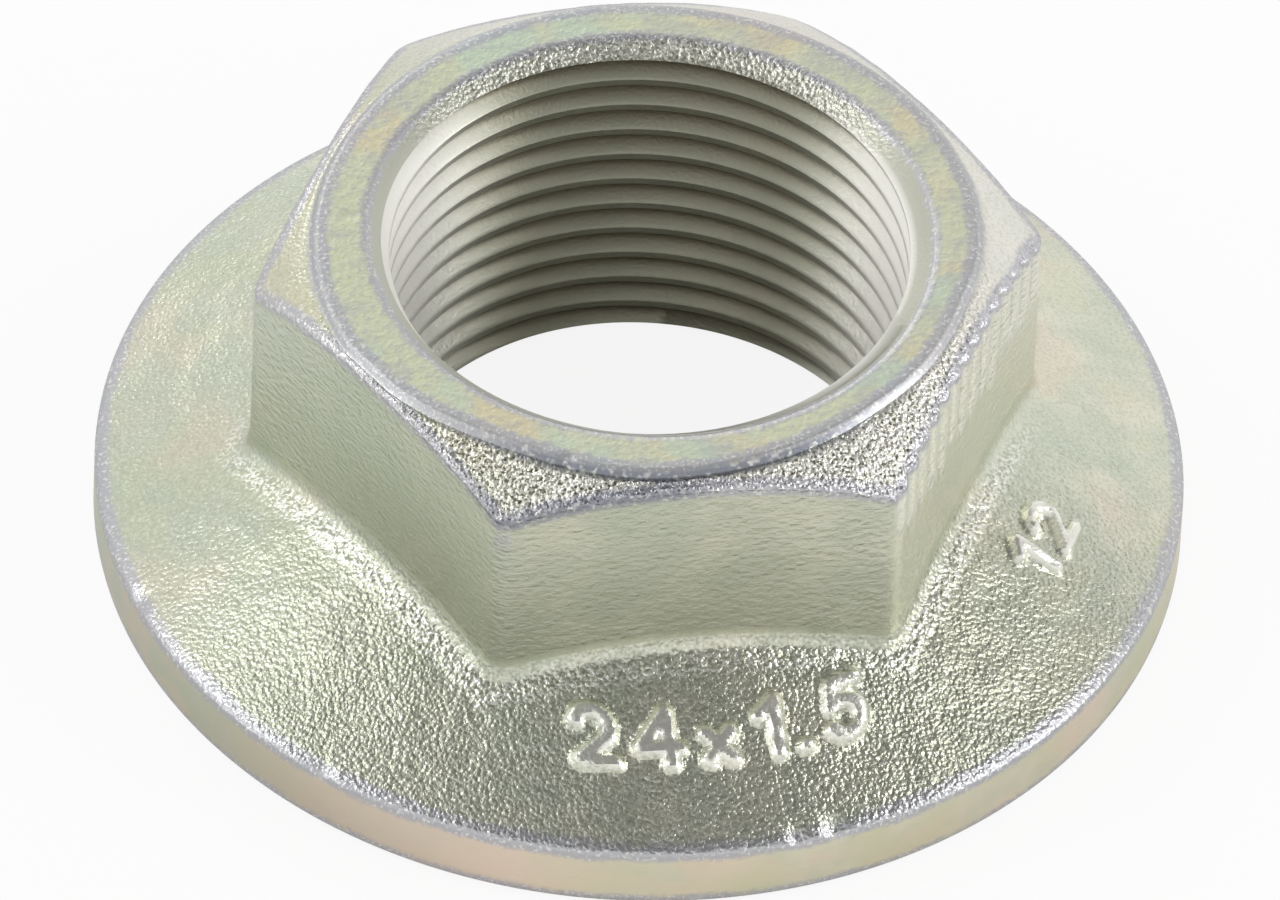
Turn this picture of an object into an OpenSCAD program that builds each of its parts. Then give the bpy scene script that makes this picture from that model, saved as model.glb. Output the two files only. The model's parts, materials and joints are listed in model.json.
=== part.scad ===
// Hexagon flange nut with a fine metric thread: a forged hexagon on a sloping round
// flange, one solid piece of plated steel. The nut stands on its bearing face, with the
// thread axis on Z and two of the hexagon's corners on X. The fine thread is shown here
// as a plain bore at the thread's minor diameter.

/* [Thread] */
// Nominal thread diameter
thread_d = 24; // [22:0.5:25]
// Thread pitch
thread_pitch = 1.5; // [1:0.25:2]
// Diameter of the countersink at the top face
top_mouth_d = 24.3; // [24.3:0.1:26]
// Diameter of the countersink at the bearing face
bottom_mouth_d = 24; // [24:0.1:26]
// Half of the countersinks' cone angle
mouth_half_angle = 60; // [45:1:60]

/* [Hexagon] */
// Height of the whole nut
nut_h = 17; // [15:0.1:20]
// Width across the hexagon's flats
across_flats = 30; // [29.6:0.1:32]
// Radius of the rounded upright corners
corner_round = 1.2; // [0.5:0.1:2]
// Outer diameter of the flat ring round the top of the hole, where its edge rolls over
top_ring_d = 27.9; // [27:0.1:29]
// Radius of the ring's rolled outer edge
ring_edge_round = 0.34; // [0.2:0.02:0.6]
// Steepness of the short shoulder below that edge
shoulder_angle = 58; // [45:1:65]
// Height of the ring above the place where the chamfer starts
shoulder_drop = 0.36; // [0.3:0.02:0.6]
// Angle of the corner chamfer below the top face
chamfer_angle = 29; // [20:1:35]

/* [Flange] */
// Diameter of the flange
flange_d = 47.2; // [44:0.1:52]
// Height of the upright wall of the rim, from the bearing face
rim_wall_h = 2.8; // [2:0.1:3.4]
// Radius of the rim's upper edge
rim_edge_round = 0.4; // [0.2:0.1:0.8]
// Radius of the rim's lower edge
rim_foot_round = 0.5; // [0.2:0.1:0.8]
// Slope of the flange's top face
flange_slope = 25; // [20:1:26]
// Radius of the fillet between the hexagon's foot and the flange
foot_fillet = 0.8; // [0.4:0.1:1.2]

/* [Hidden] */
$fn = 96;
minor_r = (thread_d - 1.0825 * thread_pitch) / 2;
top_mouth_r = top_mouth_d / 2;
bottom_mouth_r = bottom_mouth_d / 2;
flange_r = flange_d / 2;
top_ring_r = top_ring_d / 2;
hex_corner_r = across_flats / 2 / cos(30);
// Middle of a rounded corner, which touches both of its flats
corner_mid_r = (across_flats / 2 - corner_round) / cos(30);
// How far shapes run into each other or past a face that they cut
lap = 1;
// How deep the fillet's own edges sink into the surfaces that it joins, so that the
// first facet of its arc crosses them half way along
fillet_sink = 0.014;
// How far the fillet's solid reaches into the hexagon, short of the corners' own middles
fillet_root = corner_round / 2;
// Where the rim's rounded upper edge meets the slope
rim_mid_r = flange_r - rim_edge_round;
slope_start_r = rim_mid_r + rim_edge_round * sin(flange_slope);
slope_start_z = rim_wall_h + rim_edge_round * cos(flange_slope);
// The rolled edge touches the top face and the shoulder, which ends where the chamfer starts
ring_edge_mid_z = nut_h - ring_edge_round;
shoulder_top_r = top_ring_r + ring_edge_round * sin(shoulder_angle);
shoulder_top_z = ring_edge_mid_z + ring_edge_round * cos(shoulder_angle);
chamfer_in_z = nut_h - shoulder_drop;
chamfer_in_r = shoulder_top_r + (shoulder_top_z - chamfer_in_z) / tan(shoulder_angle);
chamfer_out_r = hex_corner_r + lap;
chamfer_out_z = chamfer_in_z - (chamfer_out_r - chamfer_in_r) * tan(chamfer_angle);
// Points round the outline of the hexagon, for the fillet: along a flat and round a corner
flat_steps = 14;
corner_steps = 4;
arc_steps = 4;

// Height of the flange's slope at a distance from the axis
function slope_z(r) = slope_start_z + (slope_start_r - r) * tan(flange_slope);

// Outline of the hexagon: its flats and its rounded corners, two of them on X
module hexagon_outline() {
    polygon([for (k = [0:5], side = [-30, 30])
        corner_mid_r * [cos(60 * k), sin(60 * k)]
        + corner_round * [cos(60 * k + side), sin(60 * k + side)]]);
    for (k = [0:5]) rotate(60 * k) translate([corner_mid_r, 0]) circle(r = corner_round);
}

// Half section that the hexagon is turned down to: flat ring, rolled edge, short
// shoulder and chamfer
module turned_top_section() {
    polygon([
        [0, 0],
        [chamfer_out_r, 0],
        [chamfer_out_r, chamfer_out_z],
        [chamfer_in_r, chamfer_in_z],
        [shoulder_top_r, shoulder_top_z],
        [top_ring_r, ring_edge_mid_z],
        [top_ring_r, nut_h],
        [0, nut_h]
    ]);
    translate([top_ring_r, ring_edge_mid_z]) circle(r = ring_edge_round);
}

// Half section of the flange: bearing face, rim with its rounded edges, and the slope
module flange_section() {
    polygon([
        [0, 0],
        [flange_r - rim_foot_round, 0],
        [flange_r - rim_foot_round, rim_foot_round],
        [flange_r, rim_foot_round],
        [flange_r, rim_wall_h],
        [rim_mid_r, rim_wall_h],
        [slope_start_r, slope_start_z],
        [minor_r, slope_z(minor_r)],
        [0, slope_z(minor_r)]
    ]);
    translate([rim_mid_r, rim_wall_h]) circle(r = rim_edge_round);
    translate([flange_r - rim_foot_round, rim_foot_round]) circle(r = rim_foot_round);
}

// The hexagon, with the ring and the chamfer turned on its top
module hexagon_body() {
    intersection() {
        linear_extrude(height = nut_h) hexagon_outline();
        rotate_extrude() turned_top_section();
    }
}

// Outline points for the fillet, each with the direction that its surface faces
function corner_point(k, a) = [
    corner_mid_r * [cos(60 * k), sin(60 * k)]
    + corner_round * [cos(60 * k + a), sin(60 * k + a)],
    60 * k + a
];
function flat_point(k, t) = [
    (1 - t) * corner_point(k, 30)[0] + t * corner_point(k + 1, -30)[0],
    60 * k + 30
];
foot_points = [for (k = [0:5]) each concat(
    [for (i = [0:corner_steps]) corner_point(k, -30 + 60 * i / corner_steps)],
    [for (i = [1:flat_steps - 1]) flat_point(k, i / flat_steps)]
)];

// Section of the fillet at one outline point: its arc, and two points inside the metal
function fillet_ring(foot) = let (
    p = foot[0],
    out = [cos(foot[1]), sin(foot[1])],
    a = atan(tan(flange_slope) * (p * out) / norm(p)),
    mid_z = slope_z(norm(p)) + foot_fillet / cos(a) - foot_fillet * tan(a),
    low_z = mid_z - foot_fillet * cos(a),
    arc = [for (i = [0:arc_steps]) let (b = 180 + (90 - a) * i / arc_steps) [
        foot_fillet * (1 + cos(b)) - fillet_sink,
        mid_z + foot_fillet * sin(b) - fillet_sink
    ]],
    buried = [[-fillet_root, low_z - foot_fillet], [-fillet_root, mid_z]]
) [for (q = concat(arc, [[arc[arc_steps][0], low_z - foot_fillet]], buried))
    [p[0] + out[0] * q[0], p[1] + out[1] * q[0], q[1]]];

// The fillet round the hexagon's foot, as a closed ring
module foot_fillet_ring() {
    rings = [for (foot = foot_points) fillet_ring(foot)];
    n = len(rings);
    m = len(rings[0]);
    polyhedron(
        points = [for (ring = rings) each ring],
        faces = [for (i = [0:n - 1], j = [0:m - 1]) each [
            [i * m + j, i * m + (j + 1) % m, ((i + 1) % n) * m + (j + 1) % m],
            [i * m + j, ((i + 1) % n) * m + (j + 1) % m, ((i + 1) % n) * m + j]
        ]]
    );
}

// The hole: plain bore between a countersink at each end
module bore() {
    translate([0, 0, -lap]) cylinder(r = minor_r, h = nut_h + 2 * lap);
    mouth(bottom_mouth_r);
    translate([0, 0, nut_h]) mirror([0, 0, 1]) mouth(top_mouth_r);
}

// A countersink that opens downwards at z = 0, to the given radius
module mouth(r) {
    slope = tan(mouth_half_angle);
    depth = (r - minor_r) / slope + lap / 4;
    translate([0, 0, -lap]) cylinder(
        r1 = r + lap * slope,
        r2 = r - depth * slope,
        h = lap + depth
    );
}

module nut() {
    color([0.76, 0.77, 0.6]) difference() {
        union() {
            hexagon_body();
            rotate_extrude() flange_section();
            foot_fillet_ring();
        }
        bore();
    }
}

nut();
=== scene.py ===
# %% [markdown]
# # A forged flange nut
# The CAD model gives this nut its true size, hexagon, flange and plain bore. Here it gets
# what makes it look real: a cut thread, soft forged edges, raised numbers, tool marks, a
# grainy skin and a thin, stained plating. Everything is in metres, in the frame of the
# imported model: the bearing face lies on Z = 0, the thread runs along Z, and two corners
# point along X.

# %% Load the frame
import json
import math

import bpy
import numpy as np
from mathutils import Matrix, Vector, noise


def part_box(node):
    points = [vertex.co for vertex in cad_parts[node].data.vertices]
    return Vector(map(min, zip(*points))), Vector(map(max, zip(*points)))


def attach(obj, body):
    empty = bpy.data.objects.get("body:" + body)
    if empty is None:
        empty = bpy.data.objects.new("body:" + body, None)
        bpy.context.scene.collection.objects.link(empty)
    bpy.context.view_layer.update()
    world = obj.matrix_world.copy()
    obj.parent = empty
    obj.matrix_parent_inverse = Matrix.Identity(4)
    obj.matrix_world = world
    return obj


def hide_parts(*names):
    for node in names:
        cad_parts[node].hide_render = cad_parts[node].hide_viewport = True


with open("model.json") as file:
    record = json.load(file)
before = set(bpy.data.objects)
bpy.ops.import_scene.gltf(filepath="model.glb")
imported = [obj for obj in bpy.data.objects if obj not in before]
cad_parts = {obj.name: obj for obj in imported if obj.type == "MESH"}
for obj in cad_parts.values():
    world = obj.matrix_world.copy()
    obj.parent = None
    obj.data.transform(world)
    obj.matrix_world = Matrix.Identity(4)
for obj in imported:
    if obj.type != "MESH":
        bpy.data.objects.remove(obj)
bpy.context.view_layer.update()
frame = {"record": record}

MM = 0.001

# %% [markdown]
# ## Sizes
# A designer keeps sizes in one place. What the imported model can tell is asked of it: the
# flange's radius and the height come from its box, and the bore's radius from the record's
# thread mount. The rest repeats the CAD model's own named sizes, in millimetres.

# %% Sizes in millimetres
nut_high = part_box("nut")[1]
NUT_H = nut_high.z / MM
FLANGE_R = nut_high.x / MM
MINOR_R = next(m["dims"]["r_mm"] for m in frame["record"]["mounts"] if m["name"] == "thread")
PITCH = 1.5
# A metric thread is cut this much of its pitch deep
THREAD_DEPTH = 0.54127
MAJOR_R = MINOR_R + THREAD_DEPTH * PITCH
TOP_MOUTH_R = 12.15
BOTTOM_MOUTH_R = 12.0
MOUTH_ANGLE = math.radians(60)
HALF_FLATS = 15.0
CORNER_ROUND = 1.2
FOOT_FILLET = 0.8
SLOPE = math.radians(25)
RIM_WALL_H = 2.8
RIM_EDGE = 0.4
RIM_FOOT = 0.5
print(f"nut {2 * FLANGE_R:.1f} mm wide, {NUT_H:.1f} mm high, bore radius {MINOR_R:.3f} mm")

# %% [markdown]
# ## Camera
# The photograph looks down on the nut from about 45 degrees with a very long lens, so the
# far edge looks as large as the near one. A long lens far away does the same here. The
# picture is also turned a little about the line of sight.

# %% Camera
CAMERA_AZIMUTH = math.radians(-10.5)
CAMERA_ELEVATION = math.radians(45.2)
CAMERA_ROLL = math.radians(2.8)
CAMERA_DISTANCE = 1.114
CAMERA_LENS = 725.9
AIM = Vector((-0.42, -2.22, 6.14)) * MM

camera_data = bpy.data.cameras.new("camera")
camera_data.lens = CAMERA_LENS
camera_data.sensor_width = 36.0
camera = bpy.data.objects.new("camera", camera_data)
bpy.context.scene.collection.objects.link(camera)
turn = (
    Matrix.Rotation(CAMERA_AZIMUTH, 4, "Z")
    @ Matrix.Rotation(math.pi / 2 - CAMERA_ELEVATION, 4, "X")
    @ Matrix.Rotation(CAMERA_ROLL, 4, "Z")
)
camera.matrix_world = Matrix.Translation(AIM + turn @ Vector((0, 0, CAMERA_DISTANCE))) @ turn
bpy.context.scene.camera = camera
bpy.context.scene.view_settings.view_transform = "Standard"
print(f"camera {CAMERA_DISTANCE} m away, with a lens of {CAMERA_LENS} mm")

# %% [markdown]
# ## Profiles and soft steps
# The nut is first worked out as points in the half plane of radius and height, so two
# helpers give the points of an arc and of a line. The others turn a distance into a soft
# share between 0 and 1, which both the shape and the plating use.

# %% Profile helpers
def arc(middle, radius, start, end, steps):
    """Points of an arc, with angles in degrees from the first axis."""
    turns = np.radians(np.linspace(start, end, steps + 1))
    return [(middle[0] + radius * math.cos(t), middle[1] + radius * math.sin(t)) for t in turns]


def line(start, end, steps):
    """Points from start to end, with both ends."""
    return [tuple(p) for p in np.linspace(start, end, steps + 1)]


# %% Soft steps
def smoothstep(x):
    """0 below 0, 1 above 1, and a soft ramp between."""
    x = np.clip(x, 0, 1)
    return x * x * (3 - 2 * x)


def near(distance, full, none):
    """1 where a distance is under full, 0 where it is over none, and soft between."""
    return smoothstep((none - distance) / (none - full))


def degrees_off(degrees, place):
    """How many degrees a direction lies from a place round the axis."""
    return np.abs((degrees - place + 180) % 360 - 180)


# %% [markdown]
# ## The rings of the nut
# A nut can be made with booleans, from a prism and a turned disc, but then its soft forged
# edges are hard to get. Here it is one net of rings instead: each ring runs once round the
# nut, first under the flange, then up the rim, over the slope and the hexagon, across the
# top ring and down the bore. Each ring is worked out at every step round the axis, so it
# may be round, as on the rim, or six-sided, as on the hexagon.

# %% Directions round the axis
STEPS_ROUND = 600
# Each dense place: its direction, half its width in degrees, and how much denser it is
DENSE_PLACES = [(272, 20, 1.1), (330, 29, 0.7)]
DENSE_FADE = 8
DENSE_CORNER = 1.2
CORNER_FULL, CORNER_NONE = 2, 4


def ring_angles():
    """Angles round the axis, closer together where the nut has fine detail."""
    fine = np.radians(np.linspace(0, 360, 7201))
    density = np.ones_like(fine)
    for place, half_width, extra in DENSE_PLACES:
        off_place = degrees_off(np.degrees(fine), place)
        density += extra * near(off_place, half_width, half_width + DENSE_FADE)
    for k in range(6):
        off_corner = degrees_off(np.degrees(fine), 60 * k)
        density += DENSE_CORNER * near(off_corner, CORNER_FULL, CORNER_NONE)
    share = np.concatenate([[0], np.cumsum((density[1:] + density[:-1]) / 2)])
    share = share / share[-1]
    return np.interp(np.arange(STEPS_ROUND) / STEPS_ROUND, share, fine)


angles = ring_angles()
step_degrees = np.degrees(angles)
around = np.stack([np.cos(angles), np.sin(angles)], axis=1)
apart = np.diff(step_degrees)
print(f"{STEPS_ROUND} steps, {apart.min():.2f} to {apart.max():.2f} degrees apart")

# %% The hexagon's outline
from_corner = (step_degrees + 30) % 60 - 30
corner_angle = np.radians(step_degrees - from_corner)
flat_angle = corner_angle + np.radians(30) * np.where(from_corner >= 0, 1, -1)
corner_mid = (HALF_FLATS - CORNER_ROUND) / math.cos(math.radians(30))
corner_reach = math.degrees(
    math.atan2(CORNER_ROUND * 0.5, corner_mid + CORNER_ROUND * math.cos(math.radians(30)))
)
on_corner = np.abs(from_corner) < corner_reach
off = np.radians(from_corner)
corner_r = corner_mid * np.cos(off) + np.sqrt(
    np.maximum(CORNER_ROUND**2 - (corner_mid * np.sin(off)) ** 2, 0)
)
flat_r = HALF_FLATS / np.cos(np.radians(30) - np.abs(off))
outline_r = np.where(on_corner, corner_r, flat_r)
outline = around * outline_r[:, None]
print(f"hexagon from {outline_r.min():.2f} to {outline_r.max():.2f} mm from the axis")

# %% The way that the outline faces
corner_middle = corner_mid * np.stack([np.cos(corner_angle), np.sin(corner_angle)], axis=1)
facing = np.where(
    on_corner[:, None],
    (outline - corner_middle) / CORNER_ROUND,
    np.stack([np.cos(flat_angle), np.sin(flat_angle)], axis=1),
)
# How far the outline faces straight out from the axis: 1 on a corner and mid-flat
lean = np.sum(facing * around, axis=1)
print(f"it leans by up to {math.degrees(math.acos(lean.min())):.1f} degrees from straight out")

# %% [markdown]
# ## The ring and the chamfer
# The ring was turned on a forging that didn't run quite true, so its outer edge wanders.
# Here are its radii as seen in the photograph, direction by direction. The chamfer starts
# at the ring's shoulder, is a little crowned, and comes up higher at one side.

# %% The ring's wandering edge
RING_EDGE = {
    0: 14.29, 90: 14.25, 150: 14.3, 180: 14.6, 200: 14.81, 210: 14.64, 220: 14.42, 230: 14.14,
    240: 14.07, 250: 14.27, 260: 14.36, 285: 14.05, 307: 13.82, 316: 13.92, 330: 13.87,
    338: 13.84, 346: 14.17,
}
RING_MARGIN = 0.7
SHOULDER_ROUND = 0.34
SHOULDER_STEEP = 58

every_degree = np.arange(360)
edge = np.interp(every_degree, list(RING_EDGE), list(RING_EDGE.values()), period=360)
window = np.hanning(15) / np.hanning(15).sum()
edge = np.convolve(np.concatenate([edge[-7:], edge, edge[:7]]), window, mode="valid")
edge_r = np.interp(step_degrees, every_degree, edge, period=360)
ring_r = np.minimum(
    edge_r - SHOULDER_ROUND * math.sin(math.radians(SHOULDER_STEEP)), outline_r - RING_MARGIN
)
print(f"ring edge from {edge_r.min():.2f} to {edge_r.max():.2f} mm from the axis")

# %% The rolled shoulder, and the crease below it
SHOULDER_LENGTH = 0.1
CREASE_ROUND = 0.3
CHAMFER_START = 29

# Offsets from the ring's own edge
steep_x = math.cos(math.radians(SHOULDER_STEEP))
steep_y = math.sin(math.radians(SHOULDER_STEEP))
shoulder = arc((0, -SHOULDER_ROUND), SHOULDER_ROUND, 90 - SHOULDER_STEEP, 90, 5)
crease_mid = (
    shoulder[0][0] + SHOULDER_LENGTH * steep_x + CREASE_ROUND * steep_y,
    shoulder[0][1] - SHOULDER_LENGTH * steep_y + CREASE_ROUND * steep_x,
)
crease = arc(crease_mid, CREASE_ROUND, 270 - CHAMFER_START, 270 - SHOULDER_STEEP, 3)
crease_r = ring_r + crease[0][0]
print(f"the chamfer starts {-crease[0][1]:.2f} mm below the top")

# %% The chamfer
CHAMFER_SLOPE = 0.35
CHAMFER_CROWN = 0.075
CHAMFER_LIFT = 0.42
CHAMFER_LIFT_AT = 235
CHAMFER_SINK = 0.1
LIFT_RUN = 2.7

lift = CHAMFER_LIFT * np.cos(np.radians(step_degrees - CHAMFER_LIFT_AT)) - CHAMFER_SINK


def chamfer_z(r, start, rise):
    """Height of the chamfer at a distance from the axis, from where it starts and its lift."""
    run = np.maximum(r - start, 0)
    start_z = NUT_H + crease[0][1]
    return start_z - CHAMFER_SLOPE * run - CHAMFER_CROWN * run**2 + rise * run / LIFT_RUN


print(f"chamfer lifted by {lift.min():.2f} to {lift.max():.2f} mm at its outer end")

# %% [markdown]
# ## The flange and the soft edges
# The flange slopes down from the hexagon to an upright rim with rounded edges, and a small
# fillet joins the hexagon's foot to the slope. A bevel can't make this fillet evenly, because
# the slope meets flats and corners at different angles. Here its arc is worked out at each
# step from the way that the outline faces, and so is the soft edge at the top of the flats.

# %% The flange's slope
rim_mid_r = FLANGE_R - RIM_EDGE
slope_start = (rim_mid_r + RIM_EDGE * math.sin(SLOPE), RIM_WALL_H + RIM_EDGE * math.cos(SLOPE))


def slope_z(r):
    """Height of the flange's slope at a distance from the axis."""
    return slope_start[1] + (slope_start[0] - r) * math.tan(SLOPE)


print(f"the slope rises from {slope_start[1]:.2f} to {slope_z(HALF_FLATS):.2f} mm at the flats")

# %% Round rings: underside, rim and bore
MOUTH_ROUND = 0.12

under_and_rim = (
    line((BOTTOM_MOUTH_R, 0), (FLANGE_R - RIM_FOOT, 0), 5)
    + arc((FLANGE_R - RIM_FOOT, RIM_FOOT), RIM_FOOT, -90, 0, 4)[1:]
    + line((FLANGE_R, RIM_FOOT), (FLANGE_R, RIM_WALL_H), 6)[1:]
    + arc((rim_mid_r, RIM_WALL_H), RIM_EDGE, 0, 90 - math.degrees(SLOPE), 5)[1:]
)
mouth_and_bore = line(
    (TOP_MOUTH_R, NUT_H - MOUTH_ROUND / 2),
    (MINOR_R, NUT_H - (TOP_MOUTH_R - MINOR_R) / math.tan(MOUTH_ANGLE)),
    3,
) + [(MINOR_R, (BOTTOM_MOUTH_R - MINOR_R) / math.tan(MOUTH_ANGLE))]


def level_ring(r, z):
    """One ring at one height, with a radius that may differ from step to step."""
    return np.column_stack([around * np.reshape(r, (-1, 1)), np.full(STEPS_ROUND, z)])


print(len(under_and_rim) + len(mouth_and_bore), "rings are round")

# %% Rings of the foot fillet
FILLET_RINGS = 6


def out_from_hexagon(distance, z):
    """A ring that lies at a distance out from the hexagon's outline."""
    return np.column_stack([outline + facing * np.reshape(distance, (-1, 1)), z])


foot_tilt = np.arctan(math.tan(SLOPE) * lean)
fillet_mid_z = (
    slope_z(outline_r) + FOOT_FILLET / np.cos(foot_tilt) - FOOT_FILLET * np.tan(foot_tilt)
)
fillet_rings = []
for step in range(FILLET_RINGS + 1):
    turn_here = math.pi * 1.5 - foot_tilt - (math.pi / 2 - foot_tilt) * step / FILLET_RINGS
    reach_out = FOOT_FILLET * (1 + np.cos(turn_here))
    height = fillet_mid_z + FOOT_FILLET * np.sin(turn_here)
    fillet_rings.append(out_from_hexagon(reach_out, height))
print(len(fillet_rings), "rings follow the foot fillet")

# %% Rings of the soft edge between the flats and the chamfer
EDGE_RINGS = 4
EDGE_ROUND = 0.32

edge_tilt = np.arctan((CHAMFER_SLOPE + 2 * CHAMFER_CROWN * (outline_r - crease_r)) * lean)
edge_mid_z = (
    chamfer_z(outline_r, crease_r, lift)
    + EDGE_ROUND * np.tan(edge_tilt)
    - EDGE_ROUND / np.cos(edge_tilt)
)
edge_rings = []
for step in range(EDGE_RINGS + 1):
    turn_here = (math.pi / 2 - edge_tilt) * step / EDGE_RINGS
    reach_out = EDGE_ROUND * (np.cos(turn_here) - 1)
    height = edge_mid_z + EDGE_ROUND * np.sin(turn_here)
    edge_rings.append(out_from_hexagon(reach_out, height))
print(len(edge_rings), "rings follow the chamfer's edge")

# %% All rings, from the bearing face to the flats' upper edge
SLOPE_RINGS = 42
# The slope's rings lie closest together where the raised numbers will be
SLOPE_STEPS = [0, 0.2, 0.9, 1]
SLOPE_SHARES = [0, 0.37, 0.85, 1]
FLANK_RINGS = 18

rings = [level_ring(r, z) for r, z in under_and_rim]
slope_first = len(rings)
rim_end = rings[-1]
for step in range(1, SLOPE_RINGS):
    share = np.interp(step / SLOPE_RINGS, SLOPE_STEPS, SLOPE_SHARES)
    flat_part = (1 - share) * rim_end[:, :2] + share * fillet_rings[0][:, :2]
    rings.append(np.column_stack([flat_part, slope_z(np.linalg.norm(flat_part, axis=1))]))
rings += fillet_rings
flank_first = len(rings)
for step in range(1, FLANK_RINGS):
    share = step / FLANK_RINGS
    rings.append((1 - share) * fillet_rings[-1] + share * edge_rings[0])
rings += edge_rings
chamfer_first = len(rings)
print(f"{chamfer_first} rings up to the chamfer")

# %% The other rings, over the chamfer and the top and down the bore
CHAMFER_RINGS = 7
TOP_RINGS = 7

for step in range(1, CHAMFER_RINGS):
    share = step / CHAMFER_RINGS
    flat_part = (1 - share) * edge_rings[-1][:, :2] + share * around * crease_r[:, None]
    height = chamfer_z(np.linalg.norm(flat_part, axis=1), crease_r, lift)
    rings.append(np.column_stack([flat_part, height]))
rings += [level_ring(ring_r + out, NUT_H + up) for out, up in crease + shoulder]
for step in range(1, TOP_RINGS + 1):
    share = step / TOP_RINGS
    rings.append(level_ring((1 - share) * ring_r + share * (TOP_MOUTH_R + MOUTH_ROUND), NUT_H))
rings += [level_ring(r, z) for r, z in mouth_and_bore]
rings = np.array(rings)
print(f"{len(rings)} rings of {STEPS_ROUND} points")

# %% [markdown]
# ## Raised numbers
# The die that forges the flange leaves raised numbers on it: here the thread's size, and a
# plain number at the side. A figure is a few strokes, and every point of the slope rises
# where it lies close to a stroke, with soft flanks, as metal fills a cut in a die.

# %% Strokes of the figures
# Each figure: its width and its chains of points, for a height of 1
FIGURES = {
    "1": (0.36, [[(0.06, 0.76), (0.36, 1), (0.36, 0)]]),
    "2": (0.66, [arc((0.33, 0.68), 0.32, 165, -35, 8) + [(0.02, 0), (0.66, 0)]]),
    "4": (0.72, [[(0.54, 0), (0.54, 1), (0, 0.3), (0.72, 0.3)]]),
    "5": (0.62, [[(0.6, 1), (0.1, 1), (0.05, 0.57)] + arc((0.3, 0.33), 0.33, 120, -150, 9)]),
    "x": (0.46, [[(0, 0.04), (0.46, 0.56)], [(0, 0.56), (0.46, 0.04)]]),
    ".": (0.02, [[(0, 0), (0.02, 0)]]),
}


def strokes_of(row, height, gap):
    """The strokes of a row of figures, in mm, with the row's middle at the origin."""
    strokes = []
    x = 0.0
    for figure in row:
        width, chains = FIGURES[figure]
        for chain in chains:
            points = [np.array(point) * height + (x, 0) for point in chain]
            strokes += list(zip(points, points[1:]))
        x += width * height + gap
    middle = np.array([(x - gap) / 2, height / 2])
    return [(a - middle, b - middle) for a, b in strokes]


def stroke_distance(points, strokes):
    """How far each point lies from the nearest stroke."""
    nearest = np.full(len(points), 1e9)
    for a, b in strokes:
        run = b - a
        share = np.clip(((points - a) @ run) / (run @ run), 0, 1)
        nearest = np.minimum(nearest, np.linalg.norm(points - a - share[:, None] * run, axis=1))
    return nearest


# %% Rows of figures on the slope
# Each row: figures, direction and distance of its middle, figure height, gap, half a stroke
NUMBERS = [
    ("24x1.5", 272, 18.8, 2.3, 1.2, 0.3),
    ("12", 331, 18.5, 2.1, 1.15, 0.24),
]
ROW_DEGREES = 26
ROW_REACH = 2.4


def rows_near(r, degrees):
    """For each row: the points close to it, how far its strokes are, and half a stroke."""
    for row, place, r_mid, height, gap, half_stroke in NUMBERS:
        turned = (degrees - place + 180) % 360 - 180
        close = (np.abs(turned) < ROW_DEGREES) & (np.abs(r - r_mid) < ROW_REACH)
        along = np.radians(turned[close]) * r[close]
        up_slope = (r_mid - r[close]) / math.cos(SLOPE)
        points = np.column_stack([along, up_slope])
        yield close, stroke_distance(points, strokes_of(row, height, gap)), half_stroke


# %% Raise the numbers
NUMBER_RAISE = 0.34
NUMBER_SHOULDER = 0.12
NUMBER_FLANK = 0.22

slope_net = rings[slope_first:flank_first]
net_r = np.hypot(slope_net[..., 0], slope_net[..., 1])
net_degrees = np.degrees(np.arctan2(slope_net[..., 1], slope_net[..., 0]))
raised = np.zeros_like(net_r)
for close, distance, half_stroke in rows_near(net_r, net_degrees):
    figure = near(distance, half_stroke - NUMBER_SHOULDER, half_stroke + NUMBER_FLANK)
    raised[close] = np.maximum(raised[close], figure)
outward_move = NUMBER_RAISE * raised * math.sin(SLOPE)
slope_net[..., 0] += outward_move * around[None, :, 0]
slope_net[..., 1] += outward_move * around[None, :, 1]
slope_net[..., 2] += NUMBER_RAISE * raised * math.cos(SLOPE)
print("points raised for the numbers:", int((raised > 0.5).sum()))

# %% [markdown]
# ## Tool marks, dents and an uneven skin
# Where the forging's flash was trimmed off, one flat carries a row of upright grooves below
# the chamfer. The rim has a few dents from handling, and nothing that was forged is quite
# flat, so soft noise moves every forged face by a few hundredths of a millimetre.

# %% Trim marks on one flat
TRIM_FLAT = 330
TRIM_FROM_Z = 12.0
TRIM_HALF_WIDTH = 8.2
TRIM_PITCH = 1.22
TRIM_DEPTH = 0.2
TRIM_ALL_OVER = 0.03

trim_out = np.array([math.cos(math.radians(TRIM_FLAT)), math.sin(math.radians(TRIM_FLAT))])
trim_along = np.array([-trim_out[1], trim_out[0]])


def trim_marks(x, y, z):
    """How strongly each point belongs to the trimmed band, and how deep its groove is."""
    along = x * trim_along[0] + y * trim_along[1]
    outward = x * trim_out[0] + y * trim_out[1]
    groove = np.floor(along / TRIM_PITCH + 0.5)
    # Two waves that don't match the pitch end each groove at its own height
    low_end = TRIM_FROM_Z + 0.35 * np.sin(groove * 2.4) + 0.2 * np.sin(groove * 5.1)
    band = near(np.abs(outward - HALF_FLATS), 0.25, 0.5) * smoothstep((z - low_end) / 0.5)
    band = band * near(np.abs(along), TRIM_HALF_WIDTH, TRIM_HALF_WIDTH + 0.5)
    depth = (0.5 + 0.5 * np.cos(2 * math.pi * along / TRIM_PITCH)) ** 2
    return band, depth


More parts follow.
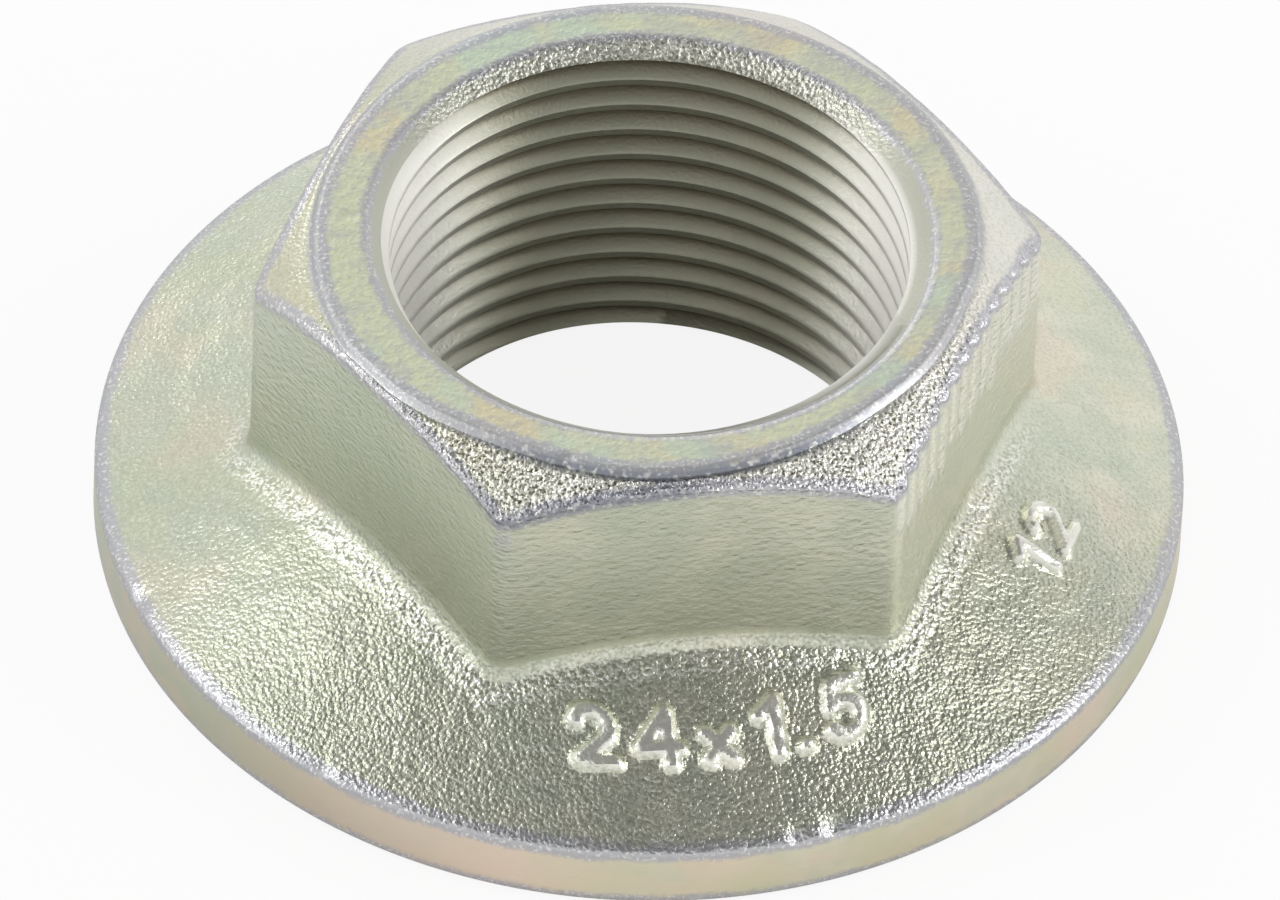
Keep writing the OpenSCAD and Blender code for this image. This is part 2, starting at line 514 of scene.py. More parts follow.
flank_net = rings[flank_first - 1 : chamfer_first]
band, depth = trim_marks(flank_net[..., 0], flank_net[..., 1], flank_net[..., 2])
inward = band * (TRIM_ALL_OVER + TRIM_DEPTH * depth)
flank_net[..., 0] -= inward * trim_out[0]
flank_net[..., 1] -= inward * trim_out[1]
print("points moved by the trim marks:", int((band > 0.5).sum()))

# %% Dents
# Each dent: direction, radius and height of its middle, its size and its depth
DENTS = [
    (278.3, 23.3, 3.1, 0.55, 0.14),
    (282.6, 23.3, 3.1, 0.75, 0.16),
    (194.5, 23.4, 3.0, 0.6, 0.16),
    (226.0, 23.4, 3.0, 0.5, 0.1),
    (168.2, 12.9, 17.0, 0.4, 0.05),
    (247.0, 14.2, 16.9, 0.5, 0.08),
]
DENT_INWARD = 0.4

all_points = rings.reshape(-1, 3)
net_radius = np.hypot(all_points[:, 0], all_points[:, 1])
for place, r_mid, z_mid, size, deep in DENTS:
    a = math.radians(place)
    middle = np.array([r_mid * math.cos(a), r_mid * math.sin(a), z_mid])
    pressed = near(np.linalg.norm(all_points - middle, axis=1), size * 0.3, size)
    all_points[:, 2] -= deep * pressed * (all_points[:, 2] > 1.0)
    all_points[:, :2] *= (1 - DENT_INWARD * deep * pressed / np.maximum(net_radius, 1))[:, None]
print(len(DENTS), "dents pressed in")

# %% Uneven forged faces
UNEVEN = 0.035
# The move goes out and up alike
OUT_AND_UP = 0.7

forged_part = rings[slope_first : chamfer_first + CHAMFER_RINGS - 1]
wander = np.array([
    noise.noise(Vector(p) * 0.55) + 0.5 * noise.noise(Vector(p) * 1.7 + Vector((9, 0, 0)))
    for p in forged_part.reshape(-1, 3)
]).reshape(forged_part.shape[:2])
ring_count = np.arange(len(forged_part))
fade = smoothstep(ring_count / 5) * smoothstep(ring_count[::-1] / 3)
move = (wander - 0.5) * UNEVEN * fade[:, None]
forged_part[..., 0] += move * around[None, :, 0] * OUT_AND_UP
forged_part[..., 1] += move * around[None, :, 1] * OUT_AND_UP
forged_part[..., 2] += move * OUT_AND_UP
print("uneven by", round(float(np.abs(move).max()), 3), "mm at most")

# %% [markdown]
# ## Turn the blank, then press the hexagon
# As in the forge, the nut starts as a round blank. Its section is drawn as a chain of
# points, by extruding one vertex, and Spin turns it once round the axis. Then every vertex
# is moved to its place on its ring, which presses the round blank into the hexagon. Spin
# gives clean four-sided faces, and moving vertices keeps them.

# %% A chain of points
def chain_of_points(name, section, low=0.0):
    """A new object whose mesh is a chain of extruded points, given as radius and height."""
    bpy.ops.object.select_all(action="DESELECT")
    bpy.ops.mesh.primitive_plane_add(size=2 * MM)
    chain = bpy.context.active_object
    chain.name = name
    bpy.ops.object.mode_set(mode="EDIT")
    bpy.ops.mesh.select_all(action="SELECT")
    bpy.ops.mesh.merge(type="CENTER")
    bpy.ops.transform.translate(value=Vector((section[0][0], 0, section[0][1] + low)) * MM)
    for (r0, z0), (r1, z1) in zip(section, section[1:]):
        step_on = Vector((r1 - r0, 0, z1 - z0)) * MM
        bpy.ops.mesh.extrude_region_move(TRANSFORM_OT_translate={"value": step_on})
    bpy.ops.mesh.select_all(action="SELECT")
    bpy.ops.mesh.edge_face_add()
    bpy.ops.mesh.delete(type="ONLY_FACE")
    return chain


# %% Turn the blank
blank_section = [(math.hypot(x, y), z) for x, y, z in rings[:, 0, :]]
nut = chain_of_points("forged_nut", blank_section)
bpy.ops.mesh.select_all(action="SELECT")
bpy.ops.mesh.spin(steps=STEPS_ROUND, angle=2 * math.pi, center=(0, 0, 0), axis=(0, 0, 1))
bpy.ops.mesh.select_all(action="SELECT")
bpy.ops.mesh.remove_doubles(threshold=1e-6)
bpy.ops.mesh.normals_make_consistent(inside=False)
bpy.ops.object.mode_set(mode="OBJECT")
print("blank:", len(nut.data.vertices), "vertices,", len(nut.data.polygons), "faces")

# %% Find each vertex's ring and step
def positions(piece):
    """The vertices of a piece as an array, in millimetres."""
    flat = np.zeros(len(piece.data.vertices) * 3)
    piece.data.vertices.foreach_get("co", flat)
    return flat.reshape(-1, 3) / MM


blank = positions(nut)
blank_r = np.hypot(blank[:, 0], blank[:, 1])
section = np.array(blank_section)
ring_of = np.argmin(
    np.hypot(blank_r[:, None] - section[None, :, 0], blank[:, 2][:, None] - section[None, :, 1]),
    axis=1,
)
blank_angle = np.arctan2(blank[:, 1], blank[:, 0]) % (2 * math.pi)
step_of = np.rint(blank_angle / (2 * math.pi) * STEPS_ROUND).astype(int) % STEPS_ROUND
print("the vertices lie on", len(np.unique(ring_of)), "rings and", len(np.unique(step_of)), "steps")

# %% Press the hexagon
forged = rings[ring_of, step_of]
nut.data.vertices.foreach_set("co", (forged * MM).ravel())
nut.data.update()
print("pressed: furthest move", round(float(np.abs(forged - blank).max()), 2), "mm")

# %% [markdown]
# ## The thread
# A tap cuts a screw-shaped groove. The Screw modifier sweeps the groove's section round
# and up to make the solid that the tap takes away, and a boolean takes it out of the bore.
# The groove's corners are broken a little, so that its crests catch the light.

# %% The groove's section
THREAD_BROKEN = 0.07
THREAD_START = -1.6

half_root = PITCH / 16
half_crest = PITCH * 3 / 8
groove_side = [
    (MINOR_R - 0.3, half_crest + 0.13),
    (MINOR_R - 0.01, half_crest + THREAD_BROKEN),
    (MINOR_R + THREAD_BROKEN * 1.2, half_crest - THREAD_BROKEN),
    (MAJOR_R - 0.1, half_root + 0.058),
    (MAJOR_R, half_root - 0.03),
]
groove = groove_side + [(r, -z) for r, z in reversed(groove_side)]
print(f"groove {MAJOR_R - MINOR_R:.2f} mm deep, every {PITCH} mm")

# %% The tap's solid
TAP_STEPS = 120

cutter = chain_of_points("tap", groove, THREAD_START * PITCH)
bpy.ops.object.mode_set(mode="OBJECT")
screw = cutter.modifiers.new("screw", "SCREW")
screw.angle = 2 * math.pi
screw.screw_offset = PITCH * MM
screw.iterations = int(NUT_H / PITCH) + 4
screw.steps = screw.render_steps = TAP_STEPS
bpy.ops.object.modifier_apply(modifier="screw")
bpy.ops.object.mode_set(mode="EDIT")
bpy.ops.mesh.select_all(action="SELECT")
bpy.ops.mesh.remove_doubles(threshold=1e-7)
bpy.ops.mesh.select_all(action="SELECT")
bpy.ops.mesh.fill_holes(sides=0)
bpy.ops.mesh.select_all(action="SELECT")
bpy.ops.mesh.normals_make_consistent(inside=False)
bpy.ops.object.mode_set(mode="OBJECT")
print("tap:", len(cutter.data.polygons), "faces")

# %% [markdown]
# ## Cut and smooth
# An operator works on what is selected and active, so the nut is first made both. The exact
# solver copes with the many faces that the tap meets. Smooth shading by angle then keeps
# the soft edges soft and leaves the thread's crests crisp.

# %% Cut the thread
def only(piece):
    """Makes one object the only selected one, and the active one."""
    bpy.ops.object.select_all(action="DESELECT")
    piece.select_set(True)
    bpy.context.view_layer.objects.active = piece


only(nut)
cut = nut.modifiers.new("thread", "BOOLEAN")
cut.operation = "DIFFERENCE"
cut.solver = "EXACT"
cut.object = cutter
bpy.ops.object.modifier_apply(modifier="thread")
bpy.data.objects.remove(cutter)
print("threaded nut:", len(nut.data.polygons), "faces")

# %% Smooth shading
SMOOTH_UNDER = 28
only(nut)
bpy.ops.object.shade_smooth_by_angle(angle=math.radians(SMOOTH_UNDER))
print("smooth where faces meet at less than", SMOOTH_UNDER, "degrees")

# %% [markdown]
# ## Where the skin differs
# The same plating looks different on each region. The coarse skin of the forging die is on the
# flange and the chamfer, turned faces are smooth, and edges are rubbed down to a lilac grey. Each
# of these is a soft mask over the vertices, kept as an attribute that the material can read.

# %% Where each vertex lies
x, y, z = positions(nut).T
r = np.hypot(x, y)
degrees = np.degrees(np.arctan2(y, x)) % 360
here_ring = np.interp(degrees, step_degrees, ring_r, period=360)
here_crease = np.interp(degrees, step_degrees, crease_r, period=360)
here_lift = np.interp(degrees, step_degrees, lift, period=360)
corner_off = np.abs((degrees + 30) % 60 - 30)
flat_distance = r * np.cos(np.radians(30 - corner_off))
past_flat = flat_distance - HALF_FLATS
off_slope = z - slope_z(r)
below_chamfer = chamfer_z(r, here_crease, here_lift) - z
below_top = NUT_H - z


def keep_mask(name, values):
    """Keeps a mask on the nut as a vertex attribute, and gives its values back."""
    layer = nut.data.attributes.new(name, "FLOAT", "POINT")
    layer.data.foreach_set("value", np.clip(values, 0, 1).astype(np.float32))
    print(f"{name}: {(values > 0.5).mean():.1%} of the points")
    return values


# %% Masks of the hole
in_bore = near(r, MAJOR_R + 0.1, MAJOR_R + 0.3) * smoothstep((NUT_H - 0.35 - z) / 0.3)
keep_mask("bore", in_bore)
keep_mask("root", smoothstep((r - MAJOR_R + 0.3) / 0.28) * in_bore)
keep_mask("sink", near(r, TOP_MOUTH_R, TOP_MOUTH_R + 0.2) * near(below_top, 0.55, 0.75))

# %% Masks of the faces
keep_mask("top_ring", near(below_top, 0.04, 0.2) * smoothstep((r - TOP_MOUTH_R) / 0.2))
rim = keep_mask("rim", near(FLANGE_R - r, 0.05, 0.2) * near(z, RIM_WALL_H, RIM_WALL_H + 0.2))
flank = near(np.abs(past_flat), 0.3, 0.6) * smoothstep((off_slope - 0.5) / 0.5)
flank = keep_mask("flank", flank * smoothstep(below_chamfer / 0.3))
keep_mask("flank_foot", flank * near(off_slope, 1.5, 8.5))
slope = near(np.abs(off_slope), 0.3, 0.6) * smoothstep((r - 14.6) / 0.3)
chamfer = near(np.abs(below_chamfer), 0.1, 0.3) * smoothstep((r - here_crease + 0.1) / 0.2)
chamfer = keep_mask("chamfer", chamfer * near(below_top, 3.4, 3.8))
keep_mask("grain", np.maximum(slope * (1 - rim), chamfer))

# %% Masks of the sides
# Each side: its direction, and how many degrees off it the mask is full, and none
SIDES = {
    "far_side": (80, 25, 70),
    "right_side": (345, 30, 70),
    "left_side": (180, 35, 75),
    "front": (266, 35, 85),
}
for name, (place, full, none) in SIDES.items():
    keep_mask(name, near(degrees_off(degrees, place), full, none))

# %% Mask of the worn edges
wear = np.maximum.reduce([
    near(np.hypot(r - rim_mid_r - 0.22, z - RIM_WALL_H - 0.3), 0.2, 0.75),
    near(np.hypot(r - FLANGE_R, z - 0.25), 0.25, 0.6) * 0.8,
    near(np.hypot(r - here_ring - 0.1, z - NUT_H + 0.06), 0.2, 0.8),
    near(np.hypot(r - TOP_MOUTH_R - 0.1, z - NUT_H), 0.1, 0.5) * 0.8,
    near(np.hypot(np.abs(past_flat), below_chamfer), 0.25, 0.8),
    near(corner_off, 0.8, 2.2) * flank * near(below_chamfer, 1.0, 5.0) * 0.5,
])
keep_mask("wear", wear)

# %% Masks of small places
# Tool marks, the painted shade line on the ring's shoulder and along one edge of a flat, the
# painted sparkle highlights along the hexagon's foot, and a pink stain on the rim
trim, trim_depth = trim_marks(x, y, z)
keep_mask("trim", trim * (0.5 + 0.5 * trim_depth))
shoulder_line = near(np.hypot(r - here_ring - 0.36, z - NUT_H + 0.24), 0.12, 0.34)
keep_mask("shoulder", shoulder_line * near(degrees_off(degrees, 268), 22, 44))
slate = near(np.hypot(past_flat, below_chamfer - 0.05), 0.25, 0.6)
keep_mask("slate", slate * near(degrees_off(degrees, 252), 12, 22))
foot_line = near(np.abs(past_flat - 0.75), 0.15, 0.6) * near(np.abs(off_slope), 0.15, 0.5)
keep_mask("foot_line", foot_line * near(degrees_off(degrees, 262), 70, 95))
keep_mask("blush", near(degrees_off(degrees, 236), 8, 30) * rim)

# %% Mask of the numbers
number = np.zeros_like(r)
for close, distance, half_stroke in rows_near(r, degrees):
    number[close] = np.maximum(number[close], near(distance, half_stroke, half_stroke + 0.18))
keep_mask("number", number * (slope > 0.5))

# %% [markdown]
# ## A small language for shader maths
# Shader maths reads best as plain expressions. This class wraps a socket, so that `a * b`
# or `1 - mask` adds the Math node that does it. Any other node comes from one method.

# %% A socket in expressions
class Wire:
    """A socket of a material's nodes that can be used in Python expressions."""

    def __init__(self, maker, socket):
        self.maker = maker
        self.socket = socket

    def _math(self, operation, *values):
        return self.maker.node("ShaderNodeMath", {"operation": operation}, dict(enumerate(values)))

    def __add__(self, other):
        return self._math("ADD", self, other)

    def __sub__(self, other):
        return self._math("SUBTRACT", self, other)

    def __rsub__(self, other):
        return self._math("SUBTRACT", other, self)

    def __mul__(self, other):
        return self._math("MULTIPLY", self, other)

    __radd__ = __add__
    __rmul__ = __mul__

    def ramp(self, low, high):
        """0 up to low, 1 from high, and a soft step between them."""
        settings = {"interpolation_type": "SMOOTHSTEP"}
        return self.maker.node("ShaderNodeMapRange", settings, {0: self, 1: low, 2: high})


# %% A maker of nodes
class Nodes:
    """Makes the nodes of one material or of the world."""

    def __init__(self, tree):
        self.tree = tree
        tree.nodes.clear()

    def node(self, kind, settings=None, inputs=None, output=0):
        """A node of a kind, with its settings, then its inputs, as the wire of one output."""
        made = self.tree.nodes.new(kind)
        for key, value in (settings or {}).items():
            setattr(made, key, value)
        for key, value in (inputs or {}).items():
            if isinstance(value, Wire):
                self.tree.links.new(value.socket, made.inputs[key])
            else:
                made.inputs[key].default_value = value
        return Wire(self, made.outputs[output]) if len(made.outputs) else None

    def masks(self, names):
        """Vertex attributes of the piece, by their names."""
        return [
            self.node("ShaderNodeAttribute", {"attribute_name": name}, output="Fac")
            for name in names.split()
        ]

    def noise(self, place, size, detail=2.0):
        """Noise whose blotches are about size millimetres wide."""
        inputs = {"Vector": place, "Scale": 1 / (size * MM), "Detail": detail, "Roughness": 0.5}
        return self.node("ShaderNodeTexNoise", {}, inputs, output="Fac")

    def cells(self, place, size):
        """Distance from the middles of scattered cells about size millimetres wide."""
        inputs = {"Vector": place, "Scale": 1 / (size * MM)}
        return self.node("ShaderNodeTexVoronoi", {}, inputs, output="Distance")

    def stretched(self, place, factors):
        """The same place with each axis scaled, so that noise on it is drawn out."""
        return self.node("ShaderNodeVectorMath", {"operation": "MULTIPLY"}, {0: place, 1: factors})

    def mix(self, share, first, second):
        """A colour between two colours."""
        inputs = {0: share, 6: first, 7: second}
        return self.node("ShaderNodeMix", {"data_type": "RGBA"}, inputs, output=2)


# %% [markdown]
# ## The plating
# Zinc with a thin yellow passivation is a metal with a stained, slightly matte film. Its
# colour wanders between olive, cream, ochre and mint, and it turns lilac where it is rubbed.
# The forged skin below it is a bump of small cells that sparkle under a lamp.
# Some light and shade is painted into the colour as well: bright and dark specks stand in for
# sparkle, and highlights and shade are painted on some sides, edges, figures and hollows.

# %% Colours of the plating
FILM = (0.66, 0.68, 0.56, 1)
CREAM = (0.76, 0.75, 0.62, 1)
SAGE = (0.58, 0.64, 0.52, 1)
OCHRE = (0.74, 0.64, 0.44, 1)
BLUSH = (0.84, 0.68, 0.56, 1)
MINT = (0.57, 0.70, 0.58, 1)
LEMON = (0.68, 0.70, 0.49, 1)
LILAC = (0.47, 0.47, 0.52, 1)
# Painted shade, for a dark line on the ring's shoulder and along one edge of a flat, in front
PAINTED_SLATE_SHADE = (0.20, 0.21, 0.25, 1)
SILVER = (0.84, 0.82, 0.77, 1)
# Painted highlight, for sparkle, the figures, the trim marks and the thread's sides
PAINTED_GLINT = (1.0, 0.99, 0.93, 1)
# Painted shade, for the dark specks of sparkle and the bore's far side
PAINTED_DARK_SHADE = (0.20, 0.20, 0.15, 1)
# Painted shade, for some sides, the flats' foot, the countersink, the chamfer and the rim
PAINTED_SHADE = (0.34, 0.35, 0.27, 1)
# Painted shade in the thread's root
PAINTED_ROOT_SHADE = (0.17, 0.14, 0.09, 1)

# %% Noises that the parts of the plating share
def plating_noises(n, place):
    """Broad blotches, patches and drift, then fine grit and specks."""
    return {
        "blotch": n.noise(place, 2.2, 2.0),
        "patch": n.noise(place, 5.0, 1.0),
        "drift": n.noise(n.stretched(place, (1, 1, 1.7)), 3.6, 1.0),
        "grit": n.noise(place, 0.3, 1.0),
        "speck": n.noise(place, 0.16, 1.0),
    }


# %% The film on the forged faces
def film_colour(n, noises):
    """Olive and cream with sage patches, yellower and pinker away from the front."""
    blotch, patch, drift = noises["blotch"], noises["patch"], noises["drift"]
    grain, left, right, front = n.masks("grain left_side right_side front")
    colour = n.mix(blotch.ramp(0.35, 0.65), FILM, CREAM)
    colour = n.mix((1 - patch).ramp(0.48, 0.62) * 0.55, colour, SAGE)
    colour = n.mix(left * 0.6, colour, SAGE)
    colour = n.mix(right * drift.ramp(0.4, 0.65) * 0.5, colour, CREAM)
    colour = n.mix(grain * (1 - front) * drift.ramp(0.5, 0.64) * 0.4, colour, LEMON)
    return n.mix(grain * (1 - front) * patch.ramp(0.52, 0.66) * 0.3, colour, BLUSH)


# %% The stains of the top ring and the rim
def ring_and_rim_colour(n, colour, noises):
    """Thin film in bright tints: lemon, ochre and mint on the ring, pink on the rim, and painted
    shade on the rim's left.
    """
    blotch, patch, drift = noises["blotch"], noises["patch"], noises["drift"]
    top_ring, rim, blush, left, front = n.masks("top_ring rim blush left_side front")
    colour = n.mix(top_ring * 0.65, colour, LEMON)
    colour = n.mix(top_ring * patch.ramp(0.5, 0.62) * 0.6, colour, OCHRE)
    colour = n.mix(top_ring * drift.ramp(0.54, 0.66) * 0.6, colour, MINT)
    colour = n.mix(top_ring * noises["grit"].ramp(0.5, 0.75) * 0.35, colour, LILAC)
    colour = n.mix(top_ring * (1 - blotch).ramp(0.5, 0.64) * 0.3, colour, LILAC)
    colour = n.mix(rim * drift.ramp(0.45, 0.62) * 0.6, colour, BLUSH)
    colour = n.mix(rim * (1 - patch).ramp(0.46, 0.6) * 0.6, colour, LEMON)
    colour = n.mix(rim * front * 0.35, colour, OCHRE)
    colour = n.mix(blush * 0.7, colour, BLUSH)
    # Painted shade on the rim's left side
    return n.mix(rim * left * 0.35, colour, PAINTED_SHADE)


# %% The cut faces and the flats
def cut_and_flat_colour(n, colour):
    """Brighter countersink and chamfer; painted highlight on the trim marks and the right flat;
    painted shade in the trim grooves, the sink, the chamfer's left, towards the flats' foot and on
    the slope.
    """
    sink, chamfer, trim, flank, foot, grain = n.masks("sink chamfer trim flank flank_foot grain")
    far, left, right, front = n.masks("far_side left_side right_side front")
    colour = n.mix(sink * 0.6, colour, SILVER)
    # Painted shade on the countersink's sides and far side
    colour = n.mix(sink * (right * 0.65 + left * 0.6 + far * 0.35), colour, PAINTED_SHADE)
    # Silver on the chamfer, held back on its left side, which gets ochre and painted shade instead
    colour = n.mix(chamfer * (0.75 - left * 0.75), colour, SILVER)
    colour = n.mix(chamfer * left * 0.35, colour, OCHRE)
    colour = n.mix(chamfer * left * 0.2, colour, PAINTED_SHADE)
    # Painted highlight over the trim marks, and painted shade in their grooves
    colour = n.mix(trim.ramp(0.05, 0.45) * 0.8, colour, PAINTED_GLINT)
    colour = n.mix(trim.ramp(0.6, 0.95) * 0.7, colour, LILAC)
    # Painted highlight on the right flat
    colour = n.mix(flank * right * 0.6, colour, CREAM)
    # Painted shade on the front flat and towards the flats' foot
    painted_flat_shade = flank * front * (1 - right) * 0.2 + foot * (0.2 + front * 0.3 - right * 0.2)
    colour = n.mix(painted_flat_shade, colour, PAINTED_SHADE)
    # Painted shade on the slope, most in front and at the left
    painted_slope_shade = front * 0.14 + left * 0.3 + front * (right + left * 0.5) * 0.55
    return n.mix(grain * (1 - chamfer) * painted_slope_shade, colour, PAINTED_SHADE)


# %% Painted sparkle, numbers with painted highlights, and worn edges
def grain_and_painted_sparkle_strength(n):
    """How coarse the forged skin is, and how strong its painted sparkle: most on the chamfer in
    front, and in the far sink.
    """
    grain, chamfer, front, number = n.masks("grain chamfer front number")
    sink, far = n.masks("sink far_side")
    forged_skin = grain * (0.2 + front * (0.3 + chamfer * 0.9)) * (1 - number * 0.7)
    return forged_skin + sink * far * 0.9


def painted_sparkle_and_wear_colour(n, colour, noises, coarse):
    """Painted sparkle of bright and dark specks, painted highlights on the hexagon's foot and the
    figures, edges rubbed to lilac with painted glints, and painted slate shade lines.
    """
    speck, grit, blotch = noises["speck"], noises["grit"], noises["blotch"]
    foot_line, number, wear, shoulder, slate = n.masks("foot_line number wear shoulder slate")
    # Painted sparkle: bright and dark specks stand in for grains catching and missing the light
    colour = n.mix(coarse * speck.ramp(0.56, 0.68) * 0.8, colour, PAINTED_GLINT)
    colour = n.mix(coarse * (1 - speck).ramp(0.52, 0.66) * 0.75, colour, PAINTED_DARK_SHADE)
    # Painted sparkle highlights along the hexagon's foot
    colour = n.mix(foot_line * speck.ramp(0.44, 0.6) * 0.9, colour, PAINTED_GLINT)
    # Painted highlight on the raised figures
    colour = n.mix(number * (0.5 + speck * 0.4), colour, PAINTED_GLINT)
    worn = (wear + (grit - 0.5) * 0.7 + (blotch - 0.5) * 0.8).ramp(0.25, 0.95)
    colour = n.mix(worn * 0.8, colour, LILAC)
    # Painted glints on the worn edges
    colour = n.mix(worn * speck.ramp(0.54, 0.7) * 0.45, colour, PAINTED_GLINT)
    # Painted shade as a slate line on the ring's shoulder and along one edge of a flat
    return n.mix((shoulder + slate * 0.8) * grit.ramp(0.3, 0.5) * 0.85, colour, PAINTED_SLATE_SHADE)


# %% The bore
def bore_colour(n, colour):
    """Cut steel, with painted highlights on the thread at the sides and painted shade at the far
    side and in the thread's root.
    """
    bore, root, far, left, right = n.masks("bore root far_side left_side right_side")
    colour = n.mix(bore * (1 - far) * 0.9, colour, SILVER)
    # Painted highlight on the thread at the left and right sides
    colour = n.mix(bore * (right + left) * 0.8, colour, PAINTED_GLINT)
    # Painted shade on the bore's far side
    colour = n.mix(bore * far * 0.85, colour, PAINTED_DARK_SHADE)
    # Painted shade in the thread's root, strongest at the far side
    return n.mix(root * (0.2 + far * 0.7), colour, PAINTED_ROOT_SHADE)


# %% The bump of the skin
def skin_height(n, place, noises, coarse):
    """Height of the fine surface, in millimetres."""
    speck, grit = noises["speck"], noises["grit"]
    flank, foot_line, top_ring, rim, trim = n.masks("flank foot_line top_ring rim trim")
    cells = n.cells(place, 0.22)
    ripple = n.noise(n.stretched(place, (1, 1, 1.8)), 0.4, 2.0)
    lathe = n.noise(n.stretched(place, (0.08, 0.08, 1)), 0.09, 0.0)
    skin = (1 - cells) * 0.055 + speck * 0.04
    return (
        coarse * skin
        + speck * 0.012
        + flank * ripple * 0.1
        + (foot_line + top_ring * 0.4) * grit * 0.06
        + rim * lathe * 0.012
        + trim * grit * 0.05
    )


# %% Plated steel
def plated_steel():
    """The nut's one material."""
    material = bpy.data.materials.new("plated_steel")
    material.use_nodes = True
    n = Nodes(material.node_tree)
    place = n.node("ShaderNodeTexCoord", output="Object")
    noises = plating_noises(n, place)
    coarse = grain_and_painted_sparkle_strength(n)
    colour = film_colour(n, noises)
    colour = ring_and_rim_colour(n, colour, noises)
    colour = cut_and_flat_colour(n, colour)
    colour = painted_sparkle_and_wear_colour(n, colour, noises, coarse)
    colour = bore_colour(n, colour)
    height = skin_height(n, place, noises, coarse)
    bump = n.node("ShaderNodeBump", {}, {"Strength": 1.0, "Distance": MM, "Height": height})
    bore, sink, top_ring, grain = n.masks("bore sink top_ring grain")
    far, left, right = n.masks("far_side left_side right_side")
    rough = 0.34 + top_ring * 0.16 + bore * 0.06 - grain * 0.05 + (noises["grit"] - 0.5) * 0.1
    metal = 0.95 - (bore * (right + left) * 0.7 + sink * 0.3) * (1 - far)
    looks = {"Base Color": colour, "Metallic": metal, "Roughness": rough, "Normal": bump}
    surface = n.node("ShaderNodeBsdfPrincipled", {}, looks)
    n.node("ShaderNodeOutputMaterial", {}, {"Surface": surface})
    return material


nut.data.materials.clear()
nut.data.materials.append(plated_steel())
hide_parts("nut")
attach(nut, "root")
print("plating of", len(nut.data.materials[0].node_tree.nodes), "nodes")

# %% [markdown]
# ## Floor and light
# A metal shows what stands round it, so the light matters as much as the finish. The floor
# is white paper, which the metal mirrors, apart from the part in the nut's own shade. The
# studio is bright all round and dark overhead, with soft lamps low at the left and right.

# %% The floor's paper
WHITE = (1, 1, 1, 1)
PAPER = (0.9, 0.9, 0.9, 1)
# How much of the floor's white the camera sees, and how bright the metal mirrors it
CAMERA_WHITE = 0.88
MIRRORED_WHITE = 0.85
# The metal mirrors the shaded floor up to the first distance, and white from the second
SHADE_END = 22.0
OPEN_START = 34.0


def pale_paper():
    """White for the camera and in the metal, and it keeps the nut's shadow."""
    material = bpy.data.materials.new("pale_floor")
    material.use_nodes = True
    n = Nodes(material.node_tree)
    place = n.node("ShaderNodeTexCoord", output="Object")
    from_axis = n.node("ShaderNodeVectorMath", {"operation": "LENGTH"}, {0: place}, output="Value")
    in_the_open = from_axis.ramp(SHADE_END * MM, OPEN_START * MM)
    matte = n.node("ShaderNodeBsdfDiffuse", {}, {"Color": PAPER})
    white = n.node("ShaderNodeEmission", {}, {"Color": WHITE, "Strength": 1.0})
    mirrored = n.node("ShaderNodeEmission", {}, {"Color": WHITE, "Strength": MIRRORED_WHITE})
    camera_ray = n.node("ShaderNodeLightPath", output="Is Camera Ray")
    glossy_ray = n.node("ShaderNodeLightPath", output="Is Glossy Ray")
    in_metal = {0: glossy_ray * in_the_open, 1: matte, 2: mirrored}
    surface = n.node("ShaderNodeMixShader", {}, in_metal)
    to_camera = {0: camera_ray * CAMERA_WHITE, 1: surface, 2: white}
    surface = n.node("ShaderNodeMixShader", {}, to_camera)
    n.node("ShaderNodeOutputMaterial", {}, {"Surface": surface})
    return material


# %% Floor
FLOOR_WIDTH = 4.0

bpy.ops.object.select_all(action="DESELECT")
bpy.ops.mesh.primitive_plane_add(size=FLOOR_WIDTH)
floor = bpy.context.active_object
floor.name = "floor"
floor.data.materials.append(pale_paper())
print("floor", round(floor.dimensions.x, 2), "m wide")

# %% World
# The dark patch over the nut lies a little to the right of straight up, as the camera sees it
DARK_OVERHEAD = Matrix.Rotation(CAMERA_AZIMUTH, 3, "Z") @ Vector((0.22, 0.02, 0.975))
BRIGHT_ROUND = 0.95
OVERHEAD_DARKER = 0.76

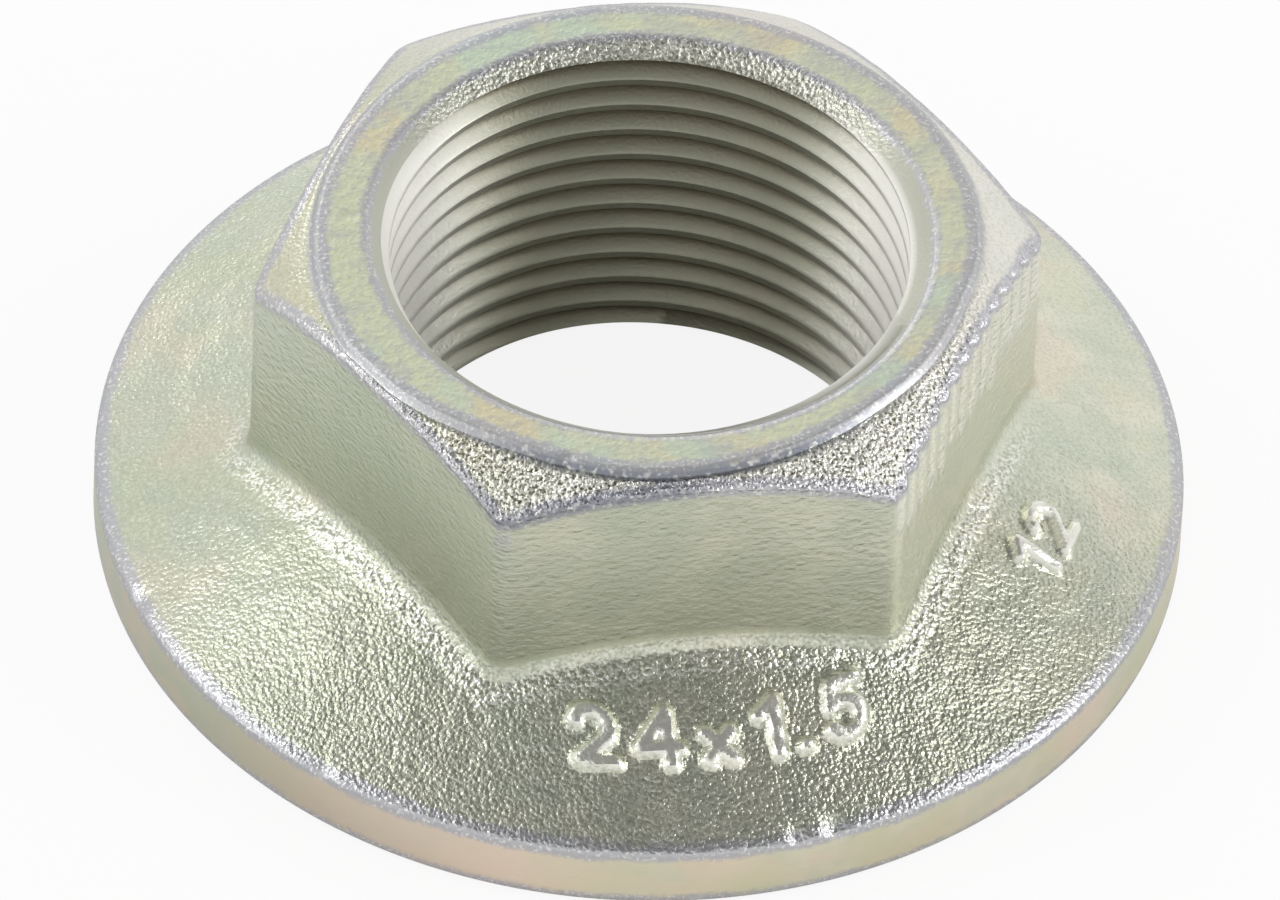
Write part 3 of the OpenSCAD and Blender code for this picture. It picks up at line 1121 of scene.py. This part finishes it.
world = bpy.data.worlds.new("studio")
bpy.context.scene.world = world
world.use_nodes = True
n = Nodes(world.node_tree)
direction = n.node("ShaderNodeTexCoord", output="Generated")
overhead = n.node(
    "ShaderNodeVectorMath",
    {"operation": "DOT_PRODUCT"},
    {0: direction, 1: DARK_OVERHEAD},
    output="Value",
)
strength = BRIGHT_ROUND - overhead.ramp(0.64, 0.96) * OVERHEAD_DARKER
studio = n.node("ShaderNodeBackground", {}, {"Color": WHITE, "Strength": strength})
white = n.node("ShaderNodeBackground", {}, {"Color": WHITE, "Strength": 1.0})
camera_ray = n.node("ShaderNodeLightPath", output="Is Camera Ray")
sky = n.node("ShaderNodeMixShader", {}, {0: camera_ray, 1: studio, 2: white})
n.node("ShaderNodeOutputWorld", {}, {"Surface": sky})
print("dark overhead, towards", [round(v, 2) for v in DARK_OVERHEAD])

# %% Lamps
# Each lamp: azimuth from the camera's side and elevation in degrees, distance, width and
# height in metres, and watts
LAMPS = {
    "left_lamp": (-75, 20, 0.6, 0.3, 0.2, 0.2),
    "right_lamp": (80, 16, 0.6, 0.3, 0.2, 0.6),
    "high_left_lamp": (-95, 48, 0.6, 0.18, 0.18, 0.4),
    "high_right_lamp": (90, 48, 0.6, 0.18, 0.18, 0.5),
    "back_lamp": (200, 30, 0.7, 0.2, 0.1, 0.3),
}


def soft_lamp(name, azimuth, elevation, distance, width, height, watts):
    """A soft lamp that points at the nut."""
    data = bpy.data.lights.new(name, "AREA")
    data.shape = "RECTANGLE"
    data.size = width
    data.size_y = height
    data.energy = watts
    lamp = bpy.data.objects.new(name, data)
    bpy.context.scene.collection.objects.link(lamp)
    a = math.radians(azimuth) + CAMERA_AZIMUTH
    e = math.radians(elevation)
    back = Vector((math.sin(a) * math.cos(e), -math.cos(a) * math.cos(e), math.sin(e)))
    lamp.location = back * distance
    lamp.rotation_euler = back.to_track_quat("Z", "Y").to_euler()


for name, settings in LAMPS.items():
    soft_lamp(name, *settings)
print(len(LAMPS), "soft lamps")
